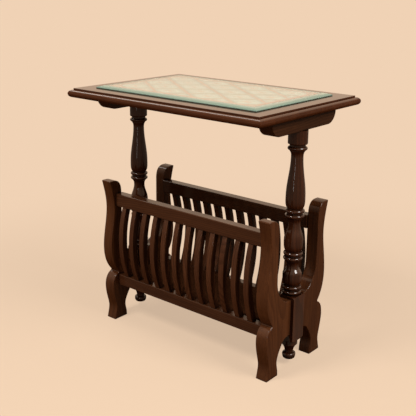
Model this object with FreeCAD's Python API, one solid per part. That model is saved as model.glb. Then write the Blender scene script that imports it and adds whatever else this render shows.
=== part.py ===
import FreeCAD, Part
import math
import os

# Magazine table with a slatted rack between two lyre-shaped end frames.
# Millimetres. X runs along the table, Y across it (front is -Y), Z up from the floor.
# The origin is on the floor at the middle of the table.

# Top board
top_length = 508.0
top_width = 354.0
field_height = 550.0          # floor to the raised field of the top
nose_thickness = 16.0         # half-round edge
field_step = 3.6              # step from the half-round edge up to the field
field_inset = 9.2             # edge of the board to the step

# Glass plate and the panel under it
glass_length = 424.0
glass_width = 266.0
glass_thickness = 6.0
glass_edge_height = 2.6       # upright part of the glass edge, below the bevel
glass_bevel_width = 13.0
panel_border = 2.0            # glass edge to panel edge
panel_thickness = 3.0
panel_clearance = 0.3

# Bearers under the top
bearer_length = 224.0         # along the top's underside
bearer_thickness = 32.0
bearer_height = 30.5
bearer_corner_radius = 27.0   # large round of the lower corners at both ends
bearer_edge_radius = 1.5

# End frames
top_overhang = 36.0           # end of the top beyond the axis of a post
board_thickness = 27.0
board_edge_radius = 1.6

# Outline of a lyre half: reaches are distances from the middle of the frame
foot_reach = 98.0
foot_width = 39.0
foot_heading = -76.0          # direction of the outer edge at the floor
ankle_reach = 93.0
ankle_width = 30.0
ankle_height = 34.0
hip_reach = 102.0
hip_height = 88.0
notch_reach = 83.5
notch_height = 116.5
notch_radius = 2.4
notch_entry_heading = 228.0   # direction of the outer edge coming into the notch
notch_exit_heading = 335.0    # direction of the outer edge leaving the notch
belly_reach = 105.0
belly_height = 180.0
waist_reach = 94.0
waist_height = 276.0
tip_reach = 105.5
arm_height = 337.0
tip_radius = 2.0
tip_heading = -106.0          # direction of the outer edge below the tip, degrees up from outwards
arm_top_width = 11.0
arm_inner_reach = 70.5        # inner edge of the arm
arm_round_height = 31.0       # height of the rounded inner corner at the arm's top
seat_height = 152.0           # bottom of the U where the half meets the post
seat_corner_reach = 55.0
seat_corner_rise = 15.0
seat_turn_height = 58.0       # height over which the arm turns in to the post
arch_height = 75.0            # underside of the half where it meets the post
arch_corner_reach = 49.0
arch_corner_drop = 13.0

# Posts
post_stock = 40.0             # side of the square block
post_turned_diameter = 39.5   # greatest diameter of the turned work
post_neck_diameter = 24.5
post_groove_diameter = 31.5
block_bottom = 58.0
block_height = 99.5
block_shoulder = 6.0          # turned-down corners at both ends of the block
ring_height = 7.5
ring_spacing = 10.4           # from one ring of a pair to the next
pair_ring_count = 2
lower_vase_height = 52.0
middle_vase_height = 69.0
vase_belly_rise = 22.5        # belly of a vase above its lower end
vase_neck_drop = 11.0         # neck of a vase below its upper end
top_cylinder_height = 26.0
top_groove_height = 5.5
drop_collar_diameter = 34.0
drop_collar_height = 12.0
drop_neck_diameter = 17.5
drop_neck_height = 20.0
drop_ball_diameter = 27.5
drop_ball_height = 14.5
drop_foot_diameter = 9.0      # small flat under the ball
post_tenon_diameter = 22.0
post_tenon_length = 18.0

# Rack
rail_thickness = 21.0
top_rail_width = 29.0         # upright face of a top rail
top_rail_height = 306.0       # floor to the upper face of the top rails
top_rail_setback = 6.0        # rail face behind the arm's waist
bottom_rail_width = 25.0
bottom_rail_height = 109.5    # floor to the upper face of the bottom rails
rail_edge_radius = 1.5
slat_count = 12
slat_left_distance = 24.5     # left end board to the middle of the first slat, seen from outside
slat_right_distance = 30.0    # right end board to the middle of the last slat, seen from outside
slat_width = 12.5
slat_thickness = 15.0
slat_belly_setback = 6.5      # slat face behind the arm's belly
slat_belly_height = 175.0
slat_edge_radius = 1.2
slat_tenon_length = 9.0
slat_tenon_shoulder = 1.8     # slat wider than its tenon by this on each side
floor_thickness = 10.0
floor_ledge = 3.4             # width of the rebate that carries the floor board
floor_clearance = 0.3

# Hidden fasteners
fit_clearance = 0.15
hole_end_room = 1.0           # spare depth at the end of a dowel or tenon hole
dowel_length = 32.0
frame_dowel_diameter = 8.0
frame_dowel_spacing = 38.0
rail_dowel_diameter = 6.0
rail_dowel_spacing = 11.0
screw_diameter = 4.0
screw_head_diameter = 8.0
screw_head_height = 3.0
screw_head_depth = 8.0        # seat of the head above the bearer's underside
screw_bite = 11.0             # length of the screw in the top board
screw_spacing = 140.0

# Places that follow from the sizes
top_underside = field_height - field_step - nose_thickness
bearer_underside = top_underside - bearer_height
frame_middle = top_length / 2.0 - top_overhang
board_inner_face = frame_middle - board_thickness / 2.0
block_half = post_stock / 2.0
block_top = block_bottom + block_height
top_rail_outer = waist_reach - top_rail_setback
top_rail_underside = top_rail_height - top_rail_width
bottom_rail_outer = notch_reach
bottom_rail_inner = bottom_rail_outer - rail_thickness
slat_head_reach = top_rail_outer - rail_edge_radius
slat_belly_reach = belly_reach - slat_belly_setback
slat_foot_reach = bottom_rail_outer - rail_edge_radius
first_slat = slat_left_distance - board_inner_face
last_slat = board_inner_face - slat_right_distance
slat_pitch = (last_slat - first_slat) / (slat_count - 1)
NEGLIGIBLE = 0.001
X_AXIS = FreeCAD.Vector(1, 0, 0)
Y_AXIS = FreeCAD.Vector(0, 1, 0)
Z_AXIS = FreeCAD.Vector(0, 0, 1)
ORIGIN = FreeCAD.Vector(0, 0, 0)
SIDES = {"front": -1, "back": 1}
ENDS = {"left": -1, "right": 1}


def vector(x, y, z):
    return FreeCAD.Vector(x, y, z)


def box(low, high):
    size = high - low
    return Part.makeBox(size.x, size.y, size.z, low)


def line(start, end):
    return Part.LineSegment(start, end).toShape()


def arc(start, middle, end):
    return Part.Arc(start, middle, end).toShape()


def curve(points):
    """Smooth curve through a few points."""
    spline = Part.BSplineCurve()
    spline.interpolate(points)
    return spline.toShape()


def steered_curve(points, start_direction, end_direction):
    """Smooth curve through a few points that leaves and arrives in given directions."""
    spline = Part.BSplineCurve()
    spline.interpolate(Points=points, InitialTangent=start_direction, FinalTangent=end_direction)
    return spline.toShape()


def prism(edges, along):
    """Solid made by pushing a closed outline along a direction."""
    return Part.Face(Part.Wire(edges)).extrude(along)


def rod(diameter, length, start, direction):
    return Part.makeCylinder(diameter / 2.0, length, start, direction)


def placed(shape, end=1, side=1):
    """Copy of a right back piece for another end or side of the table."""
    if end < 0:
        shape = shape.mirror(ORIGIN, X_AXIS)
    if side < 0:
        shape = shape.mirror(ORIGIN, Y_AXIS)
    return shape


def eased(shape, radius, chosen):
    """Rounds over the edges that a test chooses."""
    return shape.makeFillet(radius, [edge for edge in shape.Edges if chosen(edge.BoundBox)])


def cut_all(shape, tools):
    return shape.cut(Part.makeCompound(tools))


# Top

def moulded_slab(section, length, width):
    """Slab with one moulding on all four sides and mitred corners.

    It is what a lengthwise and a crosswise run of the moulding have in common. The function
    section(half_span, place) gives the outline, with place turning a reach and a height into a point.
    """
    across = prism(section(length / 2.0, lambda reach, z: vector(reach, -width, z)), Y_AXIS * (2.0 * width))
    along = prism(section(width / 2.0, lambda reach, z: vector(-length, reach, z)), X_AXIS * (2.0 * length))
    return across.common(along)


def top_section(half, place):
    """Half-round edge with a step up to the raised field."""
    radius = nose_thickness / 2.0
    straight = half - radius
    field = half - field_inset
    nose_top = top_underside + nose_thickness
    nose_middle = top_underside + radius
    upper = [(straight, nose_top), (field, nose_top), (field, field_height),
             (-field, field_height), (-field, nose_top), (-straight, nose_top)]
    corners = [place(reach, z) for reach, z in upper]
    low_left = place(-straight, top_underside)
    low_right = place(straight, top_underside)
    edges = [line(low_left, low_right), arc(low_right, place(half, nose_middle), corners[0])]
    edges += [line(corners[i], corners[i + 1]) for i in range(len(corners) - 1)]
    edges.append(arc(corners[-1], place(-half, nose_middle), low_left))
    return edges


def glass_section(half, place):
    """Flat plate with an upright edge and a wide bevel."""
    edge_top = field_height + glass_edge_height
    plate_top = field_height + glass_thickness
    flat = half - glass_bevel_width
    outline = [(-half, field_height), (half, field_height), (half, edge_top),
               (flat, plate_top), (-flat, plate_top), (-half, edge_top)]
    corners = [place(reach, z) for reach, z in outline]
    return [line(corners[i - 1], corners[i]) for i in range(len(corners))]


def panel_block(clearance):
    """The printed panel, or with a clearance the recess for it."""
    half_length = glass_length / 2.0 - panel_border + clearance
    half_width = glass_width / 2.0 - panel_border + clearance
    return box(vector(-half_length, -half_width, field_height - panel_thickness),
               vector(half_length, half_width, field_height))


def screw_places():
    """Where the bearer screws start on the bearers' undersides, either side of each post."""
    return [vector(end * frame_middle, side * screw_spacing / 2.0, bearer_underside)
            for end in ENDS.values() for side in SIDES.values()]


def screw(place, clearance):
    """A screw with a flat round head, or with a clearance the hole for it."""
    seat = place + Z_AXIS * screw_head_depth
    head_start = seat - Z_AXIS * screw_head_height
    head = rod(screw_head_diameter + 2.0 * clearance, screw_head_height, head_start, Z_AXIS)
    shank_length = bearer_height - screw_head_depth + screw_bite
    shank = rod(screw_diameter + 2.0 * clearance, shank_length + clearance, seat, Z_AXIS)
    return head.fuse(shank).removeSplitter()


def screw_hole(place):
    """Hole for a screw, with a way in for its head."""
    access = rod(screw_head_diameter + 2.0 * fit_clearance, screw_head_depth, place, Z_AXIS)
    return access.fuse(screw(place, fit_clearance)).removeSplitter()


def make_table_top():
    board = moulded_slab(top_section, top_length, top_width)
    screw_holes = [screw(place, fit_clearance) for place in screw_places()]
    return cut_all(board, [panel_block(panel_clearance)] + screw_holes)


def make_bearer(end):
    """Batten across the top's underside with large rounds at its lower corners."""
    half = vector(bearer_thickness / 2.0, bearer_length / 2.0, 0)
    middle = X_AXIS * (end * frame_middle)
    blank = box(middle - half + Z_AXIS * bearer_underside, middle + half + Z_AXIS * top_underside)
    rounded = eased(blank, bearer_corner_radius,
                    lambda bounds: bounds.XLength > NEGLIGIBLE and bounds.ZMin < top_underside - NEGLIGIBLE)
    bearer = eased(rounded, bearer_edge_radius,
                   lambda bounds: bounds.XLength < NEGLIGIBLE and bounds.ZMin < top_underside - NEGLIGIBLE)
    socket = rod(post_tenon_diameter + 2.0 * fit_clearance, post_tenon_length + hole_end_room,
                 vector(end * frame_middle, 0, bearer_underside), Z_AXIS)
    return cut_all(bearer, [socket] + [screw_hole(place) for place in screw_places()])


# Posts

def add_rings(edges, start, count):
    """Adds half-round rings with short grooves between them, and gives the height above them."""
    groove = post_groove_diameter / 2.0
    crest = post_turned_diameter / 2.0
    rest = (ring_spacing - ring_height) / 2.0
    for number in range(count):
        low = start + number * ring_spacing
        foot = low + rest
        head = foot + ring_height
        edges.append(line(vector(groove, 0, low), vector(groove, 0, foot)))
        middle = vector(crest, 0, (foot + head) / 2.0)
        edges.append(arc(vector(groove, 0, foot), middle, vector(groove, 0, head)))
        edges.append(line(vector(groove, 0, head), vector(groove, 0, head + rest)))
    return start + count * ring_spacing


def add_vase(edges, low, high):
    """Adds a turned vase: a full belly low down, then a slim neck that flares at its upper end."""
    groove = post_groove_diameter / 2.0
    foot = vector(groove, 0, low)
    belly = vector(post_turned_diameter / 2.0, 0, low + vase_belly_rise)
    neck = vector(post_neck_diameter / 2.0, 0, high - vase_neck_drop)
    head = vector(groove, 0, high)
    edges.append(steered_curve([foot, belly], X_AXIS + Z_AXIS, Z_AXIS))
    edges.append(steered_curve([belly, neck], Z_AXIS, Z_AXIS))
    edges.append(steered_curve([neck, head], Z_AXIS, X_AXIS + Z_AXIS))
    return high


def turned(edges):
    """Turned solid from the outline of its right half, listed from below upwards."""
    start = edges[0].Vertexes[0].Point
    end = edges[-1].Vertexes[-1].Point
    foot = vector(0, 0, start.z)
    head = vector(0, 0, end.z)
    outline = [line(foot, start)] + edges + [line(end, head), line(head, foot)]
    return Part.Face(Part.Wire(outline)).revolve(ORIGIN, Z_AXIS, 360)


def post_shaft():
    """Turned part of the post above its block: three vases between pairs of rings."""
    groove = post_groove_diameter / 2.0
    full = post_turned_diameter / 2.0
    edges = []
    height = add_rings(edges, block_top, pair_ring_count)
    for vase_height in (lower_vase_height, middle_vase_height):
        height = add_vase(edges, height, height + vase_height)
        height = add_rings(edges, height, pair_ring_count)
    cylinder_foot = bearer_underside - top_cylinder_height
    height = add_vase(edges, height, cylinder_foot - top_groove_height - ring_spacing)
    height = add_rings(edges, height, 1)
    groove_end = (height + cylinder_foot) / 2.0
    cove_foot = vector(groove, 0, groove_end)
    cove_head = vector(full, 0, cylinder_foot)
    edges.append(line(vector(groove, 0, height), cove_foot))
    edges.append(steered_curve([cove_foot, cove_head], X_AXIS, Z_AXIS))
    edges.append(line(cove_head, vector(full, 0, bearer_underside)))
    return turned(edges)


def post_block():
    """Square block whose corners are turned down at both ends."""
    full = post_stock / 2.0
    corner = math.hypot(full, full)
    low = block_bottom + block_shoulder
    high = block_top - block_shoulder
    lathe_work = turned([
        steered_curve([vector(full, 0, block_bottom), vector(corner, 0, low)], X_AXIS, Z_AXIS),
        line(vector(corner, 0, low), vector(corner, 0, high)),
        steered_curve([vector(corner, 0, high), vector(full, 0, block_top)], Z_AXIS, -X_AXIS)])
    square = box(vector(-full, -full, block_bottom), vector(full, full, block_top))
    return square.common(lathe_work)


def post_drop():
    """Turned drop below the block: collar, neck and ball."""
    collar = drop_collar_diameter / 2.0
    neck = drop_neck_diameter / 2.0
    ball = drop_ball_diameter / 2.0
    collar_foot = block_bottom - drop_collar_height
    ball_top = collar_foot - drop_neck_height
    ball_foot = ball_top - drop_ball_height
    ball_middle = (ball_foot + ball_top) / 2.0
    return turned([
        steered_curve([vector(drop_foot_diameter / 2.0, 0, ball_foot), vector(ball, 0, ball_middle),
                       vector(neck, 0, ball_top)], X_AXIS, -X_AXIS),
        steered_curve([vector(neck, 0, ball_top), vector(collar, 0, collar_foot)], Z_AXIS, X_AXIS + Z_AXIS),
        line(vector(collar, 0, collar_foot), vector(collar, 0, block_bottom))])


def make_post(end):
    """Post turned from one square stock, with dowel holes in its block and a tenon on top."""
    tenon = rod(post_tenon_diameter, post_tenon_length, vector(0, 0, bearer_underside), Z_AXIS)
    post = post_shaft().fuse([post_block(), post_drop(), tenon]).removeSplitter()
    post.translate(X_AXIS * (end * frame_middle))
    return cut_all(post, [dowel_hole(*place) for place in frame_dowel_places(end)])


# Lyre halves

def lyre_outline():
    """Outline of the right back half, an arm and a leg in one, on the board's inner face.

    The curves run from the arm's tip down its outer edge to the foot, up the arch to the post, and
    from the post up the inner edge; each arc and its neighbours share one direction where they meet.
    """
    def at(y, z):
        return vector(board_inner_face, y, z)

    def on_arc(centre, radius, degrees):
        angle = math.radians(degrees)
        return centre + vector(0, math.cos(angle), math.sin(angle)) * radius

    def heading(degrees):
        return vector(0, math.cos(math.radians(degrees)), math.sin(math.radians(degrees)))

    tip_centre = at(tip_reach - tip_radius, arm_height - tip_radius)
    tip_start = on_arc(tip_centre, tip_radius, 90)
    tip_end = on_arc(tip_centre, tip_radius, tip_heading + 90)
    notch_centre = at(notch_reach + notch_radius, notch_height)
    notch_start = on_arc(notch_centre, notch_radius, notch_entry_heading - 90)
    notch_end = on_arc(notch_centre, notch_radius, notch_exit_heading - 90)
    foot_outer = at(foot_reach, 0)
    foot_inner = at(foot_reach - foot_width, 0)
    arch_end = at(block_half, arch_height)
    seat = at(block_half, seat_height)
    turn_end = at(arm_inner_reach, seat_height + seat_turn_height)
    round_start = at(arm_inner_reach, arm_height - arm_round_height)
    round_end = at(tip_reach - arm_top_width, arm_height)
    tip = arc(tip_start, on_arc(tip_centre, tip_radius, tip_heading / 2.0 + 90), tip_end)
    waist = at(waist_reach, waist_height)
    belly = at(belly_reach, belly_height)
    arm_edge = steered_curve([tip_end, waist, belly, notch_start],
                             heading(tip_heading), heading(notch_entry_heading))
    notch = arc(notch_start, at(notch_reach, notch_height), notch_end)
    hip = at(hip_reach, hip_height)
    ankle = at(ankle_reach, ankle_height)
    leg_edge = steered_curve([notch_end, hip, ankle, foot_outer],
                             heading(notch_exit_heading), heading(foot_heading))
    inner_ankle = at(ankle_reach - ankle_width, ankle_height)
    arch_corner = at(arch_corner_reach, arch_height - arch_corner_drop)
    arch = steered_curve([foot_inner, inner_ankle, arch_corner, arch_end], Z_AXIS, -Y_AXIS)
    seat_corner = at(seat_corner_reach, seat_height + seat_corner_rise)
    turn = steered_curve([seat, seat_corner, turn_end], Y_AXIS, Z_AXIS)
    arm_round = steered_curve([round_start, round_end], Z_AXIS, Y_AXIS)
    return [tip, arm_edge, notch, leg_edge, line(foot_outer, foot_inner), arch, line(arch_end, seat), turn,
            line(turn_end, round_start), arm_round, line(round_end, tip_start)]


def make_lyre_half(end, side):
    """Arm and leg cut from one board, with dowel holes for the post and the rails."""
    def shows(bounds):
        on_face = bounds.XLength < NEGLIGIBLE
        at_post = bounds.YMax < block_half + NEGLIGIBLE
        at_floor = bounds.ZMax < NEGLIGIBLE
        return on_face and not at_post and not at_floor

    half = eased(prism(lyre_outline(), X_AXIS * board_thickness), board_edge_radius, shows)
    holes = [dowel_hole(*place) for place in frame_dowel_places(end) + rail_dowel_places()]
    return cut_all(placed(half, end, side), holes)


# Dowels

def frame_dowel_places(end):
    """Middle, direction and diameter of the dowels between a post block and its two lyre halves."""
    middle = (arch_height + seat_height) / 2.0
    return [(vector(end * frame_middle, side * block_half, middle + step * frame_dowel_spacing / 2.0),
             Y_AXIS, frame_dowel_diameter)
            for side in SIDES.values() for step in (-1, 1)]


def rail_dowel_places():
    """Middle, direction and diameter of the dowels between the rails and the lyre halves."""
    places = []
    rails = ((top_rail_outer, top_rail_height, top_rail_width),
             (bottom_rail_outer, bottom_rail_height, bottom_rail_width))
    for outer, upper, width in rails:
        for end in ENDS.values():
            for side in SIDES.values():
                for step in (-1, 1):
                    height = upper - width / 2.0 + step * rail_dowel_spacing / 2.0
                    reach = side * (outer - rail_thickness / 2.0)
                    middle = vector(end * board_inner_face, reach, height)
                    places.append((middle, X_AXIS, rail_dowel_diameter))
    return places


def dowel(middle, direction, diameter):
    return rod(diameter, dowel_length, middle - direction * (dowel_length / 2.0), direction)


def dowel_hole(middle, direction, diameter):
    length = dowel_length + 2.0 * hole_end_room
    return rod(diameter + 2.0 * fit_clearance, length, middle - direction * (length / 2.0), direction)


# Rack

def slat_places(side):
    """Middles of the slats along the rack; the back row is the front row turned half round."""
    return [-side * (first_slat + slat_pitch * number) for number in range(slat_count)]


def slat_tenon(place, face_reach, low, high, clearance):
    """Tenon of a slat between two heights, or with a clearance the mortise for it."""
    half_width = slat_width / 2.0 - slat_tenon_shoulder + clearance
    outer = face_reach - slat_tenon_shoulder + clearance
    inner = face_reach - slat_thickness + slat_tenon_shoulder - clearance
    return box(vector(place - half_width, inner, low), vector(place + half_width, outer, high))


def head_tenon(place, length, clearance):
    """Tenon at a slat's upper end, or the mortise for it in the top rail."""
    return slat_tenon(place, slat_head_reach, top_rail_underside, top_rail_underside + length, clearance)


def foot_tenon(place, length, clearance):
    """Tenon at a slat's lower end, or the mortise for it in the bottom rail."""
    return slat_tenon(place, slat_foot_reach, bottom_rail_height - length, bottom_rail_height, clearance)


def slat_edge(reach_change):
    """Curve of a slat from its head to its foot in the plane X = 0, moved inwards by a distance."""
    return curve([vector(0, slat_head_reach - reach_change, top_rail_underside),
                  vector(0, slat_belly_reach - reach_change, slat_belly_height),
                  vector(0, slat_foot_reach - reach_change, bottom_rail_height)])


def make_slat(place, side):
    """Curved slat that follows the arms, with a tenon at each end."""
    face = slat_edge(0.0)
    back = slat_edge(slat_thickness)
    head = line(back.Vertexes[0].Point, face.Vertexes[0].Point)
    foot = line(face.Vertexes[-1].Point, back.Vertexes[-1].Point)
    strip = eased(prism([head, face, foot, back], X_AXIS * slat_width), slat_edge_radius,
                  lambda bounds: bounds.XLength < NEGLIGIBLE and bounds.ZLength > slat_thickness)
    strip.translate(X_AXIS * (place - slat_width / 2.0))
    tenons = [head_tenon(place, slat_tenon_length, 0.0), foot_tenon(place, slat_tenon_length, 0.0)]
    return placed(strip.fuse(tenons), side=side)


def make_rail(side, outer, upper, width, mortises, rebate=None):
    """Straight rail between the two end frames, with its mortises and dowel holes."""
    rail = box(vector(-board_inner_face, outer - rail_thickness, upper - width),
               vector(board_inner_face, outer, upper))
    rail = eased(rail, rail_edge_radius, lambda bounds: bounds.XLength > NEGLIGIBLE)
    rail = cut_all(rail, mortises + ([rebate] if rebate else []))
    return cut_all(placed(rail, side=side), [dowel_hole(*place) for place in rail_dowel_places()])


def make_top_rail(side):
    depth = slat_tenon_length + hole_end_room
    mortises = [head_tenon(place, depth, fit_clearance) for place in slat_places(side)]
    return make_rail(side, top_rail_outer, top_rail_height, top_rail_width, mortises)


def make_bottom_rail(side):
    """Bottom rail with a rebate along its inner upper corner for the floor board."""
    depth = slat_tenon_length + hole_end_room
    mortises = [foot_tenon(place, depth, fit_clearance) for place in slat_places(side)]
    rebate = box(vector(-board_inner_face, bottom_rail_inner, bottom_rail_height - floor_thickness),
                 vector(board_inner_face, bottom_rail_inner + floor_ledge, bottom_rail_height))
    return make_rail(side, bottom_rail_outer, bottom_rail_height, bottom_rail_width, mortises, rebate)


def make_rack_floor():
    """Board between the bottom rails, lying in their rebates and ending at the posts."""
    half_length = frame_middle - block_half - floor_clearance
    half_width = bottom_rail_inner + floor_ledge - floor_clearance
    return box(vector(-half_length, -half_width, bottom_rail_height - floor_thickness),
               vector(half_length, half_width, bottom_rail_height))


def make_pieces():
    """All pieces by name; groups of equal fasteners are compounds of separate solids."""
    pieces = {
        "glass_top": moulded_slab(glass_section, glass_length, glass_width),
        "picture_panel": panel_block(0.0),
        "table_top": make_table_top(),
        "rack_floor": make_rack_floor(),
        "bearer_screws": Part.makeCompound([screw(place, 0.0) for place in screw_places()]),
        "rail_dowels": Part.makeCompound([dowel(*place) for place in rail_dowel_places()]),
        "frame_dowels": Part.makeCompound([dowel(*place) for end in ENDS.values()
                                           for place in frame_dowel_places(end)]),
    }
    for end_name, end in ENDS.items():
        pieces[end_name + "_bearer"] = make_bearer(end)
        pieces[end_name + "_post"] = make_post(end)
        for side_name, side in SIDES.items():
            pieces[end_name + "_" + side_name + "_lyre"] = make_lyre_half(end, side)
    for side_name, side in SIDES.items():
        pieces[side_name + "_top_rail"] = make_top_rail(side)
        pieces[side_name + "_bottom_rail"] = make_bottom_rail(side)
        for number, place in enumerate(slat_places(side), start=1):
            pieces["%s_slat_%02d" % (side_name, number)] = make_slat(place, side)
    return pieces


os.makedirs("parts", exist_ok=True)
for name, shape in make_pieces().items():
    shape.exportStep("parts/" + name + ".step")
    print(name, len(shape.Solids), "solids", shape.isValid(), round(shape.Volume))
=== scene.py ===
import math

import bpy
import numpy as np
from mathutils import Matrix, Vector


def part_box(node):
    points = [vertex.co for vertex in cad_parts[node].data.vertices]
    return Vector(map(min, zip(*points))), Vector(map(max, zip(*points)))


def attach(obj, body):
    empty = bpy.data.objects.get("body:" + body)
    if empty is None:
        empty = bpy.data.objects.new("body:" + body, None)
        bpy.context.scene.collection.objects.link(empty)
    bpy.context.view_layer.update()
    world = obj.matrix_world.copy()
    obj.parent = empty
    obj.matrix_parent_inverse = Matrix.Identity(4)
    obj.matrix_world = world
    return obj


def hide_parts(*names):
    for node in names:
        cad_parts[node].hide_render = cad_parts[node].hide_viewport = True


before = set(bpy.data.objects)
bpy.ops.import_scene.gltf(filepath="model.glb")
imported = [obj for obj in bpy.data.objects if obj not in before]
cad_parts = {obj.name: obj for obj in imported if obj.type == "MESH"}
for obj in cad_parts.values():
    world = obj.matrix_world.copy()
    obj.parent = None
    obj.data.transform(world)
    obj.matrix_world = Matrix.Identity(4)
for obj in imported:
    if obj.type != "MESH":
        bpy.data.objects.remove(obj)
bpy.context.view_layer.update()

# Looks of a magazine table: dark lacquered walnut, a loose bevelled glass plate and a printed panel
# under it. Metres. X runs along the table, Y to its back, Z up from the floor. Colours given as three
# whole numbers are display colours from 0 to 255, and the others are scene-linear.

# Camera: the view of the table from its right front corner
VIEW_AZIMUTH = 39.61
VIEW_ELEVATION = 14.88
VIEW_ROLL = 0.73
VIEW_AIM = (-0.004, -0.005, 0.3694)
VIEW_DISTANCE = 1.637
VIEW_REACH = 100.0
IMAGE_PIXELS = 416
FOCAL_PIXELS = 758.3
AXIS_ROW = 175.0              # picture row that the camera's axis meets
SENSOR_WIDTH = 36.0

# Stage
BACKDROP = (240, 210, 181)
FLOOR_SEEN = (231, 203, 174)  # looks like the backdrop under the lamps
FLOOR_BOUNCE = (0.30, 0.24, 0.19, 1.0)   # colour of the light that the floor throws back on the table
FLOOR_DROP = 0.0004           # the floor lies this far under the feet
FLOOR_REACH = 60.0
FLOOR_EVEN = 0.68             # share of the backdrop's even colour in the floor round the table
SHADOW_NEAR = 0.35            # from here on the even colour takes over from the shaded floor
SHADOW_FAR = 1.3              # from here on the floor shows no shade

# Light
LAMP_DISTANCE = 2.4
LAMP_AIM = (0.0, 0.0, 0.3)
LAMP_COLOUR = (1.0, 0.97, 0.93)
LAMPS = {                     # azimuth and elevation in degrees, width, height, watts
    "key_light": (92.0, 38.0, 0.9, 0.9, 44.0),
    "front_light": (-15.0, 52.0, 0.6, 0.6, 38.0),
    "strip_light": (10.0, 6.0, 0.1, 1.0, 6.5),
    "left_light": (-86.0, 55.0, 0.4, 1.2, 7.0),
}
SOFT_LIGHT = (1.0, 0.94, 0.88, 1.0)      # even light from all round
SOFT_STRENGTH = 0.16

# Glass
GLASS_ARRIS = 0.0004          # ground-off corner along every edge
GLASS_SEAT_GAP = 0.0002       # film of air under the plate
GLASS_IOR = 1.52
GLASS_TINT = (0.58, 0.86, 0.72, 1.0)
GLASS_DENSITY = 14.0
GLASS_PASSED = (0.93, 0.98, 0.95, 1.0)   # share of the lamps' light that reaches what lies under the plate
GLASS_SMEAR = 0.03            # roughness where the plate is smeared
GLASS_SMEAR_CELLS = (18.0, 18.0, 18.0)   # noise cells per metre along the three axes, here and below
GLASS_BEVEL_LONG = (188, 200, 178)       # painted glow and reflection on the inside of the bevels along the long sides
GLASS_BEVEL_SHORT = (200, 206, 182)      # paler painted glow and reflection on the inside of the bevels along the short ends
GLASS_BEVEL_DEEP = (136, 168, 150)       # painted green glow of light run through the glass, on the outer rim of the bevels and the upright edge
GLASS_EDGE_FOOT = (30, 52, 46)           # painted shade at the foot of the upright edge
GLASS_RIM_FADE = (0.92, 0.58)            # shares of the plate's height over which the painted glow on the bevel turns green
GLASS_FOOT_FADE = (0.22, 0.1)            # shares over which the painted shade darkens the edge
GLASS_STREAK_CELLS = (9.0, 9.0, 400.0)
GLASS_STREAK_SHIFT = 0.15                # share by which streaks shift the green either way
GLASS_GROUND_ROUGHNESS = 0.1
GLASS_GROUND_PASSES = 0.35    # transmission of the bevels and edges

# Walnut tones, from the dark late wood to the light early wood
WALNUT_DARK = (44, 21, 11)
WALNUT_MIDDLE = (80, 44, 23)
WALNUT_LIGHT = (108, 64, 36)
# lighter colour of rubbed edges, which also paints a highlight along them
WALNUT_WORN_AND_HIGHLIGHT = (124, 76, 42)
# colour of the pores, and the colour towards which the painted corner shade darkens
WALNUT_PORE = (18, 9, 5)
MIDDLE_SHARE = 0.62           # share of the middle tone in every board
TONE_SHARE = 0.55             # how far slow bands and fine streaks move a board from dark to light
STREAK_SHARE = 0.45
PORE_SHOW = 0.55              # how far pores, worn edges and grime show in the colour; the edges also hold a painted highlight and the grime a painted shade
WEAR_AND_HIGHLIGHT_SHOW = 0.35
GRIME_AND_SHADE_SHOW = 0.8

# Walnut figure with the grain along X
SWAY_CELLS = (3.0, 11.0, 11.0)
TONE_CELLS = (1.7, 16.0, 16.0)
STREAK_CELLS = (4.0, 150.0, 150.0)
FIBRE_CELLS = (30.0, 1100.0, 1100.0)
RING_SWAY = 9.0               # rings by which the slow noise shakes the growth rings
LATE_WOOD = (0.15, 0.9, 0.99)            # shares of a ring at which late wood begins, is darkest and ends
STREAK_RELIEF = 0.3           # height of the streaks and depth of the pores, in parts of the relief
PORE_RELIEF = 0.7

# Log that the pieces are cut from
LOG_SEED = 11
LOG_REACH = 5.0               # a piece lies up to this far along the log either way
PITH_AWAY = (0.03, 0.09)      # offset of the pith from the origin across the grain, least and most
GRAIN_LEAN = 0.05             # radians by which the grain may lean
RING_SPACING = (0.003, 0.0055)

# Lacquer and wear
MASK_SAMPLES = 6              # rays for the masks of worn edges and of grimy corners with painted shade
GLOSS_CLOUD = 0.22            # unevenness of the roughness
WEAR_DULLS = 0.22             # roughness that wear adds
WEAR_STRIPS = 0.5             # share of the lacquer that wear takes off
WEAR_CELLS = (35.0, 35.0, 35.0)
GRIME_AND_SHADE_CELLS = (60.0, 60.0, 60.0)
CLOUD_CELLS = (9.0, 9.0, 9.0)
PEEL_CELLS = (420.0, 420.0, 420.0)
GRAIN_HEIGHT = 0.6            # shares of the wood's relief and of the orange peel in the surface
PEEL_HEIGHT = 0.25
RELIEF_DEPTH = 0.0004

# Walnut finishes by the end of the node's name. Grain names the axis that the fibres follow on the table.
WALNUT_FINISHES = {
    "table_top": dict(grain="X", gloss=0.76, polish=1.3, polish_rise=(0.45, 0.85), shade=(0.94, 0.86, 0.82),
                      grit=0.02, grime_and_shade_reach=0.0025, coat_roughness=0.08, coat_ior=1.7),
    # the bearers are made darker to paint the shadow that the top throws on them
    "_bearer": dict(grain="Y", shade=(0.74, 0.74, 0.74)),
    # the posts' wide grime reach paints shade on their feet between the lyre arms
    "_post": dict(grain="Z", gloss=0.82, sides=0.3, shade=(0.8, 0.7, 0.63), grit=0.05, grime_and_shade_reach=0.05,
                  coat_roughness=0.03),
    "_lyre": dict(grain="Z", polish=0.75, ring_contrast=0.32),
    "_rail": dict(grain="X", polish=0.95, shade=(0.88, 0.88, 0.92)),
    # the slats' wide grime reach paints shade inside the rack
    "_slat": dict(grain="Z", shade=(0.98, 1.0, 1.1), grime_and_shade_reach=0.025),
    # the rack floor is made darker to paint the shade inside the rack
    "rack_floor": dict(grain="X", gloss=0.4, polish=0.0, shade=(0.7, 0.7, 0.7)),
}

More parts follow.
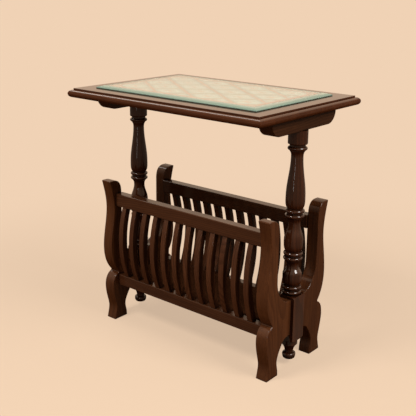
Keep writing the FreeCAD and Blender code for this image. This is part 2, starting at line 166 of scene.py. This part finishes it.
# Turns that lay a piece's grain along X, by the axis that the grain follows on the table
GRAIN_TURNS = {"X": (0.0, 0.0, 0.0), "Y": (0.0, 0.0, -math.pi / 2.0), "Z": (0.0, math.pi / 2.0, 0.0)}

# Dowels and screws
BEECH_DARK = (176, 132, 88)
BEECH_LIGHT = (214, 176, 128)
BEECH_FLECK = (140, 92, 56)
BEECH_FLECK_SHOW = 0.5
BEECH_GRAIN_CELLS = (160.0, 160.0, 900.0)
BEECH_FLECK_CELLS = (700.0, 700.0, 260.0)
ZINC_DARK = (150, 148, 140)
ZINC_LIGHT = (206, 200, 184)
ZINC_CELLS = (600.0, 600.0, 600.0)

# Print on the panel
PRINT_GROUND = (174, 182, 176)
PRINT_AGED = (186, 189, 177)         # ground where the paper has yellowed
PRINT_CREAM = (220, 218, 205)
PRINT_PINK = (232, 144, 118)
PRINT_FLECK = (190, 170, 140)
PRINT_LOZENGE = (0.100, 0.076)       # length and width of one lozenge of the trellis
PRINT_LINE = 0.042                   # half width of the trellis lines as a share of a lozenge
PRINT_LINE_BLUR = 0.4                # soft edge of a line as a share of its half width
PRINT_CREAM_FADE = (0.06, 0.22)      # shares of a lozenge over which its ground turns cream
PRINT_LEAF = 0.2                     # length of a flower's leaves as a share of a lozenge
PRINT_FRAME = (0.022, 0.0036)        # distance of the frame line from the panel's edge, and its half width
PRINT_FRAME_INNER = (0.029, 0.0009)
PRINT_FRAME_BLUR = 0.25
PRINT_FIELD_BLUR = 0.001             # the trellis fades in over this distance inside the frame
TRELLIS_INK = 0.7                    # strength of the pink in each part of the print
FLOWER_INK = 0.6
FRAME_INK = 0.75
FLECK_SHOW = 0.12
PAPER_CELLS = (14.0, 14.0, 14.0)
FLECK_CELLS = (900.0, 900.0, 900.0)


def linear(colour):
    """Scene-linear RGBA of a display colour given as 0 to 255."""
    share = np.asarray(colour, float) / 255.0
    value = np.where(share <= 0.04045, share / 12.92, ((share + 0.055) / 1.055) ** 2.4)
    return (*value.tolist(), 1.0)


def toned(colour, shade):
    """Scene-linear RGBA of a display colour that is multiplied by a shade."""
    return linear(np.multiply(colour, shade))


# Nodes

def fill(tree, node, sockets):
    """Fills a node's input sockets, given by name or number, with plain values or links."""
    for key, value in sockets.items():
        if isinstance(value, bpy.types.NodeSocket):
            tree.links.new(value, node.inputs[key])
        else:
            node.inputs[key].default_value = value


def add_node(tree, kind, sockets=None, **settings):
    """Adds a node, sets its properties and fills its sockets with values or links."""
    node = tree.nodes.new(kind)
    for name, value in settings.items():
        setattr(node, name, value)
    fill(tree, node, sockets or {})
    return node


def calc(tree, operation, *values, clamp=False):
    """One Math node on numbers or sockets."""
    node = add_node(tree, "ShaderNodeMath", dict(enumerate(values)), operation=operation, use_clamp=clamp)
    return node.outputs[0]


def times(tree, first, *others):
    """Product of numbers or sockets."""
    product = first
    for other in others:
        product = calc(tree, "MULTIPLY", product, other)
    return product


def ramp(tree, value, low, high, to_low=0.0, to_high=1.0):
    """Smooth step of a value from low to high, put out between two levels."""
    sockets = {"Value": value, "From Min": low, "From Max": high, "To Min": to_low, "To Max": to_high}
    node = add_node(tree, "ShaderNodeMapRange", sockets, interpolation_type="SMOOTHSTEP")
    return node.outputs["Result"]


def noise(tree, vector, cells, detail=3.0, roughness=0.5):
    """Noise of mean 0.5, with its cells per metre given along the three axes."""
    scaled = add_node(tree, "ShaderNodeVectorMath", {0: vector, 1: cells}, operation="MULTIPLY")
    sockets = {"Vector": scaled.outputs[0], "Scale": 1.0, "Detail": detail, "Roughness": roughness}
    return add_node(tree, "ShaderNodeTexNoise", sockets).outputs[0]


def mix(tree, factor, first, second):
    """Mix of two colours."""
    node = add_node(tree, "ShaderNodeMix", {0: factor, 6: first, 7: second}, data_type="RGBA")
    return node.outputs[2]


def axes_of(tree, vector):
    """The three parts of a vector, by the names X, Y and Z."""
    return add_node(tree, "ShaderNodeSeparateXYZ", {0: vector}).outputs


def surface_normal(tree):
    """Direction that the surface faces."""
    return add_node(tree, "ShaderNodeNewGeometry").outputs["Normal"]


def object_point(tree):
    """Point on the surface, in metres from the origin."""
    return add_node(tree, "ShaderNodeTexCoord").outputs["Object"]


def new_group(name, inputs, outputs):
    """Empty node group with named sockets; gives its tree, its inputs by name and its output node."""
    tree = bpy.data.node_groups.new(name, "ShaderNodeTree")
    for label, kind, value in inputs:
        socket = tree.interface.new_socket(label, in_out="INPUT", socket_type="NodeSocket" + kind)
        if value is not None:
            socket.default_value = value
    for label, kind in outputs:
        tree.interface.new_socket(label, in_out="OUTPUT", socket_type="NodeSocket" + kind)
    return tree, tree.nodes.new("NodeGroupInput").outputs, tree.nodes.new("NodeGroupOutput")


def use_group(tree, group, sockets):
    """Places a node group in a material; gives its outputs."""
    return add_node(tree, "ShaderNodeGroup", sockets, node_tree=group).outputs


def new_material(name):
    """Material with a bare Principled shader; gives the material, its tree and the shader."""
    material = bpy.data.materials.new(name)
    material.use_nodes = True
    tree = material.node_tree
    return material, tree, tree.nodes["Principled BSDF"]


def mix_to_output(tree, share, first, second):
    """Sends a mix of two shaders to the material's surface."""
    both = add_node(tree, "ShaderNodeMixShader", {0: share, 1: first.outputs[0], 2: second.outputs[0]})
    fill(tree, tree.nodes["Material Output"], {"Surface": both.outputs[0]})


# Shared effects

def walnut_figure_group():
    """Walnut seen on a cut through the log: growth rings, streaks and pores.

    The grain runs along X. Rings are the distance from the pith, a line beside the board, divided by the
    ring spacing and shaken by slow noise. Streaks and pores are noise drawn out along the grain.
    """
    tree, given, out = new_group(
        "walnut_figure",
        [("Vector", "Vector", None), ("Ring Spacing", "Float", 0.0042), ("Ring Contrast", "Float", 0.5),
         ("Dark", "Color", linear(WALNUT_DARK)), ("Middle", "Color", linear(WALNUT_MIDDLE)),
         ("Light", "Color", linear(WALNUT_LIGHT))],
        [("Colour", "Color"), ("Relief", "Float")])
    point = given["Vector"]
    apart = axes_of(tree, point)
    squares = [calc(tree, "POWER", apart[axis], 2.0) for axis in ("Y", "Z")]
    radius = calc(tree, "SQRT", calc(tree, "ADD", *squares))
    rings = calc(tree, "DIVIDE", radius, given["Ring Spacing"])
    sway = noise(tree, point, SWAY_CELLS, detail=2.0)
    year = calc(tree, "FRACT", calc(tree, "ADD", rings, times(tree, sway, RING_SWAY)))
    begins, darkest, ends = LATE_WOOD
    late = times(tree, ramp(tree, year, begins, darkest), ramp(tree, year, ends, darkest))
    tone = noise(tree, point, TONE_CELLS, detail=2.0)
    streak = noise(tree, point, STREAK_CELLS, detail=4.0, roughness=0.6)
    fibre = noise(tree, point, FIBRE_CELLS, detail=2.0)
    pores = times(tree, ramp(tree, fibre, 0.58, 0.70), ramp(tree, streak, 0.35, 0.6, 0.35, 1.0))
    slow_depth = times(tree, ramp(tree, tone, 0.3, 0.7), TONE_SHARE)
    fine_depth = times(tree, ramp(tree, streak, 0.36, 0.64), STREAK_SHARE)
    board = mix(tree, calc(tree, "ADD", slow_depth, fine_depth), given["Dark"], given["Light"])
    board = mix(tree, MIDDLE_SHARE, board, given["Middle"])
    board = mix(tree, times(tree, late, given["Ring Contrast"]), board, given["Dark"])
    board = mix(tree, times(tree, pores, PORE_SHOW), board, linear(WALNUT_PORE))
    relief = calc(tree, "SUBTRACT", times(tree, streak, STREAK_RELIEF), times(tree, pores, PORE_RELIEF))
    fill(tree, out, {"Colour": board, "Relief": relief})
    return tree


def edge_wear_group():
    """Mask of rubbed edges: where the surface turns within a small radius, broken up by noise.

    The turn is one minus the cosine between the surface normal and the normal smoothed over the radius.
    """
    tree, given, out = new_group(
        "edge_wear",
        [("Vector", "Vector", None), ("Radius", "Float", 0.0022)],
        [("Mask", "Float")])
    smooth = add_node(tree, "ShaderNodeBevel", {"Radius": given["Radius"]}, samples=MASK_SAMPLES)
    normals = {0: smooth.outputs[0], 1: surface_normal(tree)}
    cosine = add_node(tree, "ShaderNodeVectorMath", normals, operation="DOT_PRODUCT").outputs["Value"]
    edge = ramp(tree, calc(tree, "SUBTRACT", 1.0, cosine), 0.01, 0.12)
    patches = noise(tree, given["Vector"], WEAR_CELLS, detail=4.0, roughness=0.65)
    fill(tree, out, {"Mask": times(tree, edge, ramp(tree, patches, 0.4, 0.68))})
    return tree


def corner_grime_and_shade_group():
    """Mask of corners, grooves and recesses: stain and dust that gather there, together with painted shade
    where light falls short.

    It is the share of a small half sphere over the surface that is closed off, broken up by noise. The
    wider the reach, the more shade it paints in the hollows between pieces.
    """
    tree, given, out = new_group(
        "corner_grime_and_shade",
        [("Vector", "Vector", None), ("Reach", "Float", 0.007)],
        [("Mask", "Float")])
    reach = {"Distance": given["Reach"]}
    sphere = add_node(tree, "ShaderNodeAmbientOcclusion", reach, samples=MASK_SAMPLES)
    closed = ramp(tree, sphere.outputs["AO"], 0.92, 0.45)
    patches = noise(tree, given["Vector"], GRIME_AND_SHADE_CELLS, detail=3.0)
    fill(tree, out, {"Mask": times(tree, closed, ramp(tree, patches, 0.2, 0.7, 0.75, 1.0))})
    return tree


def lacquer_group():
    """Finish of a hand-rubbed lacquer: uneven gloss, more polish on faces that look up, orange-peel height.

    A face looks up by the Z part of its normal. The polish grows from Rise From to Rise To, and upright
    faces have the share that Sides gives.
    """
    tree, given, out = new_group(
        "lacquer",
        [("Vector", "Vector", None), ("Gloss", "Float", 0.7), ("Polish", "Float", 1.0),
         ("Sides", "Float", 0.1), ("Rise From", "Float", 0.1), ("Rise To", "Float", 0.75),
         ("Wear", "Float", 0.0), ("Relief", "Float", 0.0)],
        [("Roughness", "Float"), ("Coat", "Float"), ("Height", "Float")])
    rise = axes_of(tree, surface_normal(tree))["Z"]
    cloudy = noise(tree, given["Vector"], CLOUD_CELLS, detail=4.0, roughness=0.6)
    fine = noise(tree, given["Vector"], PEEL_CELLS, detail=2.0)
    dull = calc(tree, "SUBTRACT", 1.0, given["Gloss"])
    uneven = times(tree, calc(tree, "SUBTRACT", cloudy, 0.5), GLOSS_CLOUD)
    rough = calc(tree, "ADD", dull, uneven)
    rough = calc(tree, "ADD", rough, times(tree, given["Wear"], WEAR_DULLS), clamp=True)
    upward = ramp(tree, rise, given["Rise From"], given["Rise To"])
    upright = ramp(tree, rise, -0.25, 0.1, 0.0, given["Sides"])
    facing = calc(tree, "ADD", upward, upright, clamp=True)
    polish = times(tree, facing, ramp(tree, cloudy, 0.25, 0.6, 0.8, 1.0), given["Polish"])
    coat = calc(tree, "SUBTRACT", polish, times(tree, given["Wear"], WEAR_STRIPS), clamp=True)
    height = calc(tree, "ADD", times(tree, given["Relief"], GRAIN_HEIGHT), times(tree, fine, PEEL_HEIGHT))
    fill(tree, out, {"Roughness": rough, "Coat": coat, "Height": height})
    return tree


WALNUT_FIGURE = walnut_figure_group()
EDGE_WEAR = edge_wear_group()
CORNER_GRIME_AND_SHADE = corner_grime_and_shade_group()
LACQUER = lacquer_group()


# Materials

def log_point(tree, place, grain, draw):
    """Place in the log of a point on a piece, with the pith on the X axis and the grain along it."""
    pith = draw.uniform(*PITH_AWAY, 2) * draw.choice((-1.0, 1.0), 2)
    lean = draw.uniform(-GRAIN_LEAN, GRAIN_LEAN, 3)
    turned = Vector(GRAIN_TURNS[grain]) + Vector(lean)
    along = draw.uniform(-LOG_REACH, LOG_REACH)
    sockets = {"Vector": place, "Rotation": turned, "Location": (along, *pith)}
    return add_node(tree, "ShaderNodeMapping", sockets, vector_type="POINT").outputs[0]


def walnut(name, draw, grain, gloss=0.64, polish=1.0, sides=0.1, polish_rise=(0.1, 0.75),
           shade=(1.0, 1.0, 1.0), ring_contrast=0.45, grit=0.12, grime_and_shade_reach=0.007,
           coat_roughness=0.12, coat_ior=1.52):
    """Lacquered walnut for one piece, cut from its own place in the log.

    Shade multiplies the walnut tones, grit is the strength of the relief, and polish_rise holds the
    slopes at which a face that turns up begins to take the polish and has all of it.
    """
    material, tree, shader = new_material(name)
    place = object_point(tree)
    wood = log_point(tree, place, grain, draw)
    figure = use_group(tree, WALNUT_FIGURE, {
        "Vector": wood, "Ring Spacing": draw.uniform(*RING_SPACING), "Ring Contrast": ring_contrast,
        "Dark": toned(WALNUT_DARK, shade), "Middle": toned(WALNUT_MIDDLE, shade),
        "Light": toned(WALNUT_LIGHT, shade)})
    wear = use_group(tree, EDGE_WEAR, {"Vector": place})["Mask"]
    # painted shade in corners and hollows, together with real grime
    grime_and_shade = use_group(tree, CORNER_GRIME_AND_SHADE, {"Vector": place, "Reach": grime_and_shade_reach})["Mask"]
    finish = use_group(tree, LACQUER, {
        "Vector": wood, "Gloss": gloss, "Polish": polish, "Sides": sides, "Rise From": polish_rise[0],
        "Rise To": polish_rise[1], "Wear": wear, "Relief": figure["Relief"]})
    # edges turn lighter: partly rubbed lacquer, partly a painted edge highlight
    colour = mix(tree, times(tree, wear, WEAR_AND_HIGHLIGHT_SHOW), figure["Colour"], toned(WALNUT_WORN_AND_HIGHLIGHT, shade))
    # corners and recesses darken towards the pore colour: grime and painted shade
    colour = mix(tree, times(tree, grime_and_shade, GRIME_AND_SHADE_SHOW), colour, linear(WALNUT_PORE))
    relief = {"Height": finish["Height"], "Strength": grit, "Distance": RELIEF_DEPTH}
    bump = add_node(tree, "ShaderNodeBump", relief)
    fill(tree, shader, {
        "Base Color": colour, "Roughness": finish["Roughness"], "Coat Weight": finish["Coat"],
        "Normal": bump.outputs[0], "Specular IOR Level": 0.0, "Coat Roughness": coat_roughness,
        "Coat IOR": coat_ior})
    return material


def beech_dowel():
    """Bare beech with short flecks, for the dowels."""
    material, tree, shader = new_material("beech_dowel")
    point = object_point(tree)
    grain = noise(tree, point, BEECH_GRAIN_CELLS, detail=3.0)
    flecks = ramp(tree, noise(tree, point, BEECH_FLECK_CELLS, detail=1.0), 0.6, 0.72)
    colour = mix(tree, grain, linear(BEECH_DARK), linear(BEECH_LIGHT))
    colour = mix(tree, times(tree, flecks, BEECH_FLECK_SHOW), colour, linear(BEECH_FLECK))
    fill(tree, shader, {"Base Color": colour, "Roughness": ramp(tree, grain, 0.2, 0.8, 0.55, 0.75)})
    return material


def zinc_steel():
    """Zinc-plated steel with a mottled film, for the screws."""
    material, tree, shader = new_material("zinc_steel")
    film = noise(tree, object_point(tree), ZINC_CELLS, detail=4.0)
    colour = mix(tree, film, linear(ZINC_DARK), linear(ZINC_LIGHT))
    roughness = ramp(tree, film, 0.3, 0.7, 0.25, 0.5)
    fill(tree, shader, {"Base Color": colour, "Roughness": roughness, "Metallic": 1.0})
    return material


def clear_glass():
    """Clear float glass, green where light runs far inside it.

    Rays that light what lies under the plate pass straight through, so no lamp is counted twice there.
    """
    material, tree, shader = new_material("clear_glass")
    smears = noise(tree, object_point(tree), GLASS_SMEAR_CELLS, detail=5.0, roughness=0.6)
    fill(tree, shader, {
        "Base Color": (1.0, 1.0, 1.0, 1.0), "Roughness": ramp(tree, smears, 0.45, 0.8, 0.0, GLASS_SMEAR),
        "IOR": GLASS_IOR, "Transmission Weight": 1.0})
    clear = add_node(tree, "ShaderNodeBsdfTransparent", {"Color": GLASS_PASSED})
    path = add_node(tree, "ShaderNodeLightPath").outputs
    from_matte = calc(tree, "GREATER_THAN", path["Diffuse Depth"], 0.5)
    light_ray = calc(tree, "MAXIMUM", path["Is Shadow Ray"], from_matte)
    mix_to_output(tree, light_ray, shader, clear)
    body = add_node(tree, "ShaderNodeVolumeAbsorption", {"Color": GLASS_TINT, "Density": GLASS_DENSITY})
    fill(tree, tree.nodes["Material Output"], {"Volume": body.outputs[0]})
    return material


def painted_glass_bevel():
    """Bevel and edge of the plate in painted light: a pale glow inside, green towards the rim and painted
    shade at the foot of the edge.
    """
    material, tree, shader = new_material("painted_glass_bevel")
    low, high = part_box("glass_top")
    point = object_point(tree)
    share = calc(tree, "DIVIDE", calc(tree, "SUBTRACT", axes_of(tree, point)["Z"], low.z), high.z - low.z)
    streaks = noise(tree, point, GLASS_STREAK_CELLS, detail=4.0)
    sideways = calc(tree, "ABSOLUTE", axes_of(tree, surface_normal(tree))["X"])
    at_ends = ramp(tree, sideways, 0.02, 0.2)
    # bevels that face the ends get a paler painted glow than those along the sides
    colour = mix(tree, at_ends, linear(GLASS_BEVEL_LONG), linear(GLASS_BEVEL_SHORT))
    shift = ramp(tree, streaks, 0.35, 0.7, -GLASS_STREAK_SHIFT, GLASS_STREAK_SHIFT)
    rim = calc(tree, "ADD", ramp(tree, share, *GLASS_RIM_FADE), shift, clamp=True)
    colour = mix(tree, rim, colour, linear(GLASS_BEVEL_DEEP))
    # painted shade darkens the foot of the edge
    colour = mix(tree, ramp(tree, share, *GLASS_FOOT_FADE), colour, linear(GLASS_EDGE_FOOT))
    fill(tree, shader, {
        "Base Color": colour, "Roughness": GLASS_GROUND_ROUGHNESS, "IOR": GLASS_IOR,
        "Transmission Weight": GLASS_GROUND_PASSES})
    return material


# Printed panel

def line(tree, away, half_width, blur):
    """One near a line, falling to nought at its half width over a blur that is a share of it."""
    return ramp(tree, away, half_width * (1.0 + blur), half_width * (1.0 - blur))


def frame_line(tree, edge, middle, half_width):
    """Line that runs round the panel at a distance from its edge."""
    away = calc(tree, "ABSOLUTE", calc(tree, "SUBTRACT", edge, middle))
    return line(tree, away, half_width, PRINT_FRAME_BLUR)


def panel_edge(tree, apart):
    """Distance from the nearest edge of the panel, which lies with its middle over the origin."""
    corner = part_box("picture_panel")[1]
    from_ends = calc(tree, "SUBTRACT", corner.x, calc(tree, "ABSOLUTE", apart["X"]))
    from_sides = calc(tree, "SUBTRACT", corner.y, calc(tree, "ABSOLUTE", apart["Y"]))
    return calc(tree, "MINIMUM", from_ends, from_sides)


def lozenge_cells(tree, apart):
    """Two coordinates inside a lozenge of the trellis, each from -0.5 to 0.5.

    They are the fractions of X / length + Y / width and of X / length - Y / width, less a half.
    """
    along = calc(tree, "DIVIDE", apart["X"], PRINT_LOZENGE[0])
    across = calc(tree, "DIVIDE", apart["Y"], PRINT_LOZENGE[1])
    slants = [calc(tree, operation, along, across) for operation in ("ADD", "SUBTRACT")]
    return [calc(tree, "SUBTRACT", calc(tree, "FRACT", slant), 0.5) for slant in slants]


def lozenge_border(tree, cells):
    """Distance from the nearest line of the trellis, as a share of a lozenge."""
    away = [calc(tree, "SUBTRACT", 0.5, calc(tree, "ABSOLUTE", cell)) for cell in cells]
    return calc(tree, "MINIMUM", *away)


def four_leaved_flower(tree, cells):
    """Mask of a flower in the middle of a lozenge.

    It covers each radius that is shorter than the leaf length times the cosine of twice the bearing,
    taken without its sign.
    """
    squares = [calc(tree, "POWER", cell, 2.0) for cell in cells]
    radius = calc(tree, "SQRT", calc(tree, "ADD", *squares))
    bearing = calc(tree, "ARCTAN2", cells[1], cells[0])
    lobes = calc(tree, "ABSOLUTE", calc(tree, "COSINE", times(tree, bearing, 2.0)))
    leaf_left = calc(tree, "SUBTRACT", times(tree, lobes, PRINT_LEAF), radius)
    return ramp(tree, leaf_left, -0.01, 0.02)


def printed_panel():
    """Pale print on thin board: a framed trellis of cream lozenges, each with a four-leaved flower."""
    material, tree, shader = new_material("printed_panel")
    point = object_point(tree)
    apart = axes_of(tree, point)
    edge = panel_edge(tree, apart)
    cells = lozenge_cells(tree, apart)
    border = lozenge_border(tree, cells)
    trellis = line(tree, border, PRINT_LINE, PRINT_LINE_BLUR)
    flower = four_leaved_flower(tree, cells)
    field = ramp(tree, edge, PRINT_FRAME_INNER[0], PRINT_FRAME_INNER[0] + PRINT_FIELD_BLUR)
    rules = [frame_line(tree, edge, *rule) for rule in (PRINT_FRAME, PRINT_FRAME_INNER)]
    paper = noise(tree, point, PAPER_CELLS, detail=5.0, roughness=0.6)
    flecks = ramp(tree, noise(tree, point, FLECK_CELLS, detail=2.0), 0.5, 0.75)
    colour = mix(tree, ramp(tree, paper, 0.3, 0.7), linear(PRINT_GROUND), linear(PRINT_AGED))
    cream = times(tree, ramp(tree, border, *PRINT_CREAM_FADE), field)
    colour = mix(tree, cream, colour, linear(PRINT_CREAM))
    inks = (times(tree, trellis, field, TRELLIS_INK), times(tree, flower, field, FLOWER_INK),
            times(tree, calc(tree, "MAXIMUM", *rules), FRAME_INK))
    for ink in inks:
        colour = mix(tree, ink, colour, linear(PRINT_PINK))
    colour = mix(tree, times(tree, flecks, FLECK_SHOW), colour, linear(PRINT_FLECK))
    fill(tree, shader, {
        "Base Color": colour, "Roughness": ramp(tree, paper, 0.2, 0.8, 0.6, 0.75),
        "Specular IOR Level": 0.05})
    return material


# New pieces

def new_piece(name, points, faces, material):
    """Object at the origin from an array of points and a list of faces."""
    mesh = bpy.data.meshes.new(name)
    mesh.from_pydata(points.tolist(), [], faces)
    mesh.validate()
    mesh.update()
    mesh.materials.append(material)
    piece = bpy.data.objects.new(name, mesh)
    bpy.context.scene.collection.objects.link(piece)
    return piece


def node_points(node):
    """Points of a CAD node's mesh, one to a row."""
    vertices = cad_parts[node].data.vertices
    flat = np.empty(len(vertices) * 3)
    vertices.foreach_get("co", flat)
    return flat.reshape(-1, 3)


def plate_profile(points):
    """Insets and heights of the plate's loops from its foot up, as two arrays.

    The plate's own points give the heights of its foot, bevel and upper face, and the width of its bevel.
    The arris grinds off the corners at the foot and where the upright edge meets the bevel.
    """
    heights = points[:, 2]
    seat = heights.min() + GLASS_SEAT_GAP
    edge_top = np.unique(heights.round(5))[1]
    bevel = points[:, 0].max() - points[heights > edge_top + GLASS_ARRIS][:, 0].max()
    loops = [(GLASS_ARRIS, seat), (0.0, seat + GLASS_ARRIS), (0.0, edge_top - GLASS_ARRIS),
             (2.0 * GLASS_ARRIS, edge_top), (bevel, heights.max())]
    return np.array(loops).T


def bevelled_plate():
    """Glass plate as a stack of eight-cornered loops.

    Each loop is the plate's rectangle drawn in by an inset at one height, with its corners ground off by
    the arris: corner point = (side - inset) along one side and the arris less along the other. Quads
    join each loop to the next, and one face closes the plate above and below.
    """
    solid = node_points("glass_top")
    half_length, half_width = solid[:, :2].max(axis=0)
    inset, height = plate_profile(solid)
    long_side = np.array([1, 1, 1, -1, -1, -1, -1, 1])
    wide_side = np.array([-1, 1, 1, 1, 1, -1, -1, -1])
    cut_long = np.array([0, 0, 1, 1, 0, 0, 1, 1]) * GLASS_ARRIS
    cut_wide = GLASS_ARRIS - cut_long
    x = long_side * (half_length - inset[:, None] - cut_long)
    y = wide_side * (half_width - inset[:, None] - cut_wide)
    z = np.broadcast_to(height[:, None], x.shape)
    points = np.stack([x, y, z], axis=-1).reshape(-1, 3)
    index = np.arange(x.size).reshape(x.shape)
    following = np.roll(index, -1, axis=1)
    quads = np.stack([index[:-1], following[:-1], following[1:], index[1:]], axis=-1).reshape(-1, 4)
    faces = quads.tolist() + [index[0][::-1].tolist(), index[-1].tolist()]
    plate = new_piece("glass_plate", points, faces, clear_glass())
    plate.data.materials.append(painted_glass_bevel())
    for face in plate.data.polygons[:len(quads)]:
        face.material_index = 1
    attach(plate, "glass")
    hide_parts("glass_top")


# Finishes of the CAD nodes

def dress(node, material):
    """Gives a node one material on all its faces."""
    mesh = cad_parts[node].data
    mesh.materials.clear()
    mesh.materials.append(material)


def walnut_finish(node):
    """Finish of a walnut piece, by the end of its name without its number; none for other pieces."""
    stem = node.rstrip("_0123456789")
    for ending, finish in WALNUT_FINISHES.items():
        if stem.endswith(ending):
            return finish
    return None


def dress_woodwork():
    """Walnut for every board, post, rail and slat; each piece has its own draw from the log."""
    draw = np.random.default_rng(LOG_SEED)
    for node in sorted(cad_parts):
        finish = walnut_finish(node)
        if finish:
            dress(node, walnut("walnut_" + node, draw, **finish))


def dress_hidden_pieces():
    """Beech for the dowels and zinc-plated steel for the screws."""
    beech = beech_dowel()
    dress("rail_dowels", beech)
    dress("frame_dowels", beech)
    dress("bearer_screws", zinc_steel())


# Stage, light and camera

def seen_rays(tree):
    """One for rays from the camera, straight or by way of gloss and glass, but not off a matte surface."""
    path = add_node(tree, "ShaderNodeLightPath").outputs
    shiny = calc(tree, "MAXIMUM", path["Is Glossy Ray"], path["Is Transmission Ray"])
    direct = calc(tree, "LESS_THAN", path["Diffuse Depth"], 0.5)
    return times(tree, calc(tree, "MAXIMUM", path["Is Camera Ray"], shiny), direct)


def add_floor():
    """Plain floor that takes the shadow near the table and keeps the backdrop's colour further out."""
    reach = FLOOR_REACH
    corners = np.array([(-reach, -reach, -FLOOR_DROP), (reach, -reach, -FLOOR_DROP),
                        (reach, reach, -FLOOR_DROP), (-reach, reach, -FLOOR_DROP)])
    material, tree, shader = new_material("floor")
    tree.nodes.remove(shader)
    seen = seen_rays(tree)
    shaded_colour = mix(tree, seen, FLOOR_BOUNCE, linear(FLOOR_SEEN))
    shaded = add_node(tree, "ShaderNodeBsdfDiffuse", {"Color": shaded_colour})
    even = add_node(tree, "ShaderNodeEmission", {"Color": linear(BACKDROP), "Strength": 1.0})
    away = add_node(tree, "ShaderNodeVectorMath", {0: object_point(tree)}, operation="LENGTH")
    even_share = ramp(tree, away.outputs["Value"], SHADOW_NEAR, SHADOW_FAR, FLOOR_EVEN, 1.0)
    mix_to_output(tree, times(tree, seen, even_share), shaded, even)
    new_piece("floor", corners, [[0, 1, 2, 3]], material)


def set_world():
    """Soft even light from all round; the eye, gloss and glass see a pale warm backdrop."""
    world = bpy.data.worlds.new("studio")
    world.use_nodes = True
    tree = world.node_tree
    tree.nodes.clear()
    soft = add_node(tree, "ShaderNodeBackground", {"Color": SOFT_LIGHT, "Strength": SOFT_STRENGTH})
    pale = add_node(tree, "ShaderNodeBackground", {"Color": linear(BACKDROP), "Strength": 1.0})
    shaders = {0: seen_rays(tree), 1: soft.outputs[0], 2: pale.outputs[0]}
    both = add_node(tree, "ShaderNodeMixShader", shaders)
    add_node(tree, "ShaderNodeOutputWorld", {"Surface": both.outputs[0]})
    bpy.context.scene.world = world


def outward(azimuth, elevation):
    """Direction from the table to a place seen at an azimuth and elevation in degrees."""
    turn = math.radians(azimuth)
    rise = math.radians(elevation)
    return Vector((math.sin(turn) * math.cos(rise), -math.cos(turn) * math.cos(rise), math.sin(rise)))


def add_softbox(name, azimuth, elevation, width, height, power):
    """Rectangular lamp that faces the middle of the table."""
    lamp = bpy.data.lights.new(name, "AREA")
    lamp.shape = "RECTANGLE"
    lamp.size = width
    lamp.size_y = height
    lamp.energy = power
    lamp.color = LAMP_COLOUR
    holder = bpy.data.objects.new(name, lamp)
    away = outward(azimuth, elevation)
    holder.location = Vector(LAMP_AIM) + away * LAMP_DISTANCE
    holder.rotation_euler = away.to_track_quat("Z", "Y").to_euler()
    holder.visible_camera = False
    bpy.context.scene.collection.objects.link(holder)


def add_camera():
    """Camera at the view's azimuth and elevation, with the frame shifted so that its axis meets its row."""
    lens = bpy.data.cameras.new("camera")
    lens.sensor_width = SENSOR_WIDTH
    lens.lens = FOCAL_PIXELS / IMAGE_PIXELS * SENSOR_WIDTH
    lens.shift_y = (AXIS_ROW - IMAGE_PIXELS / 2.0) / IMAGE_PIXELS
    lens.clip_end = VIEW_REACH
    camera = bpy.data.objects.new("camera", lens)
    turn = math.radians(VIEW_AZIMUTH)
    back = outward(VIEW_AZIMUTH, VIEW_ELEVATION)
    right = Vector((math.cos(turn), math.sin(turn), 0.0))
    up = back.cross(right)
    turned = Matrix((right, up, back)).transposed().to_4x4()
    roll = Matrix.Rotation(math.radians(VIEW_ROLL), 4, "Z")
    camera.matrix_world = Matrix.Translation(Vector(VIEW_AIM) + back * VIEW_DISTANCE) @ turned @ roll
    bpy.context.scene.collection.objects.link(camera)
    bpy.context.scene.camera = camera


dress_woodwork()
dress_hidden_pieces()
dress("picture_panel", printed_panel())
bevelled_plate()
add_floor()
set_world()
for lamp_name, lamp_values in LAMPS.items():
    add_softbox(lamp_name, *lamp_values)
add_camera()
bpy.context.scene.view_settings.view_transform = "Standard"
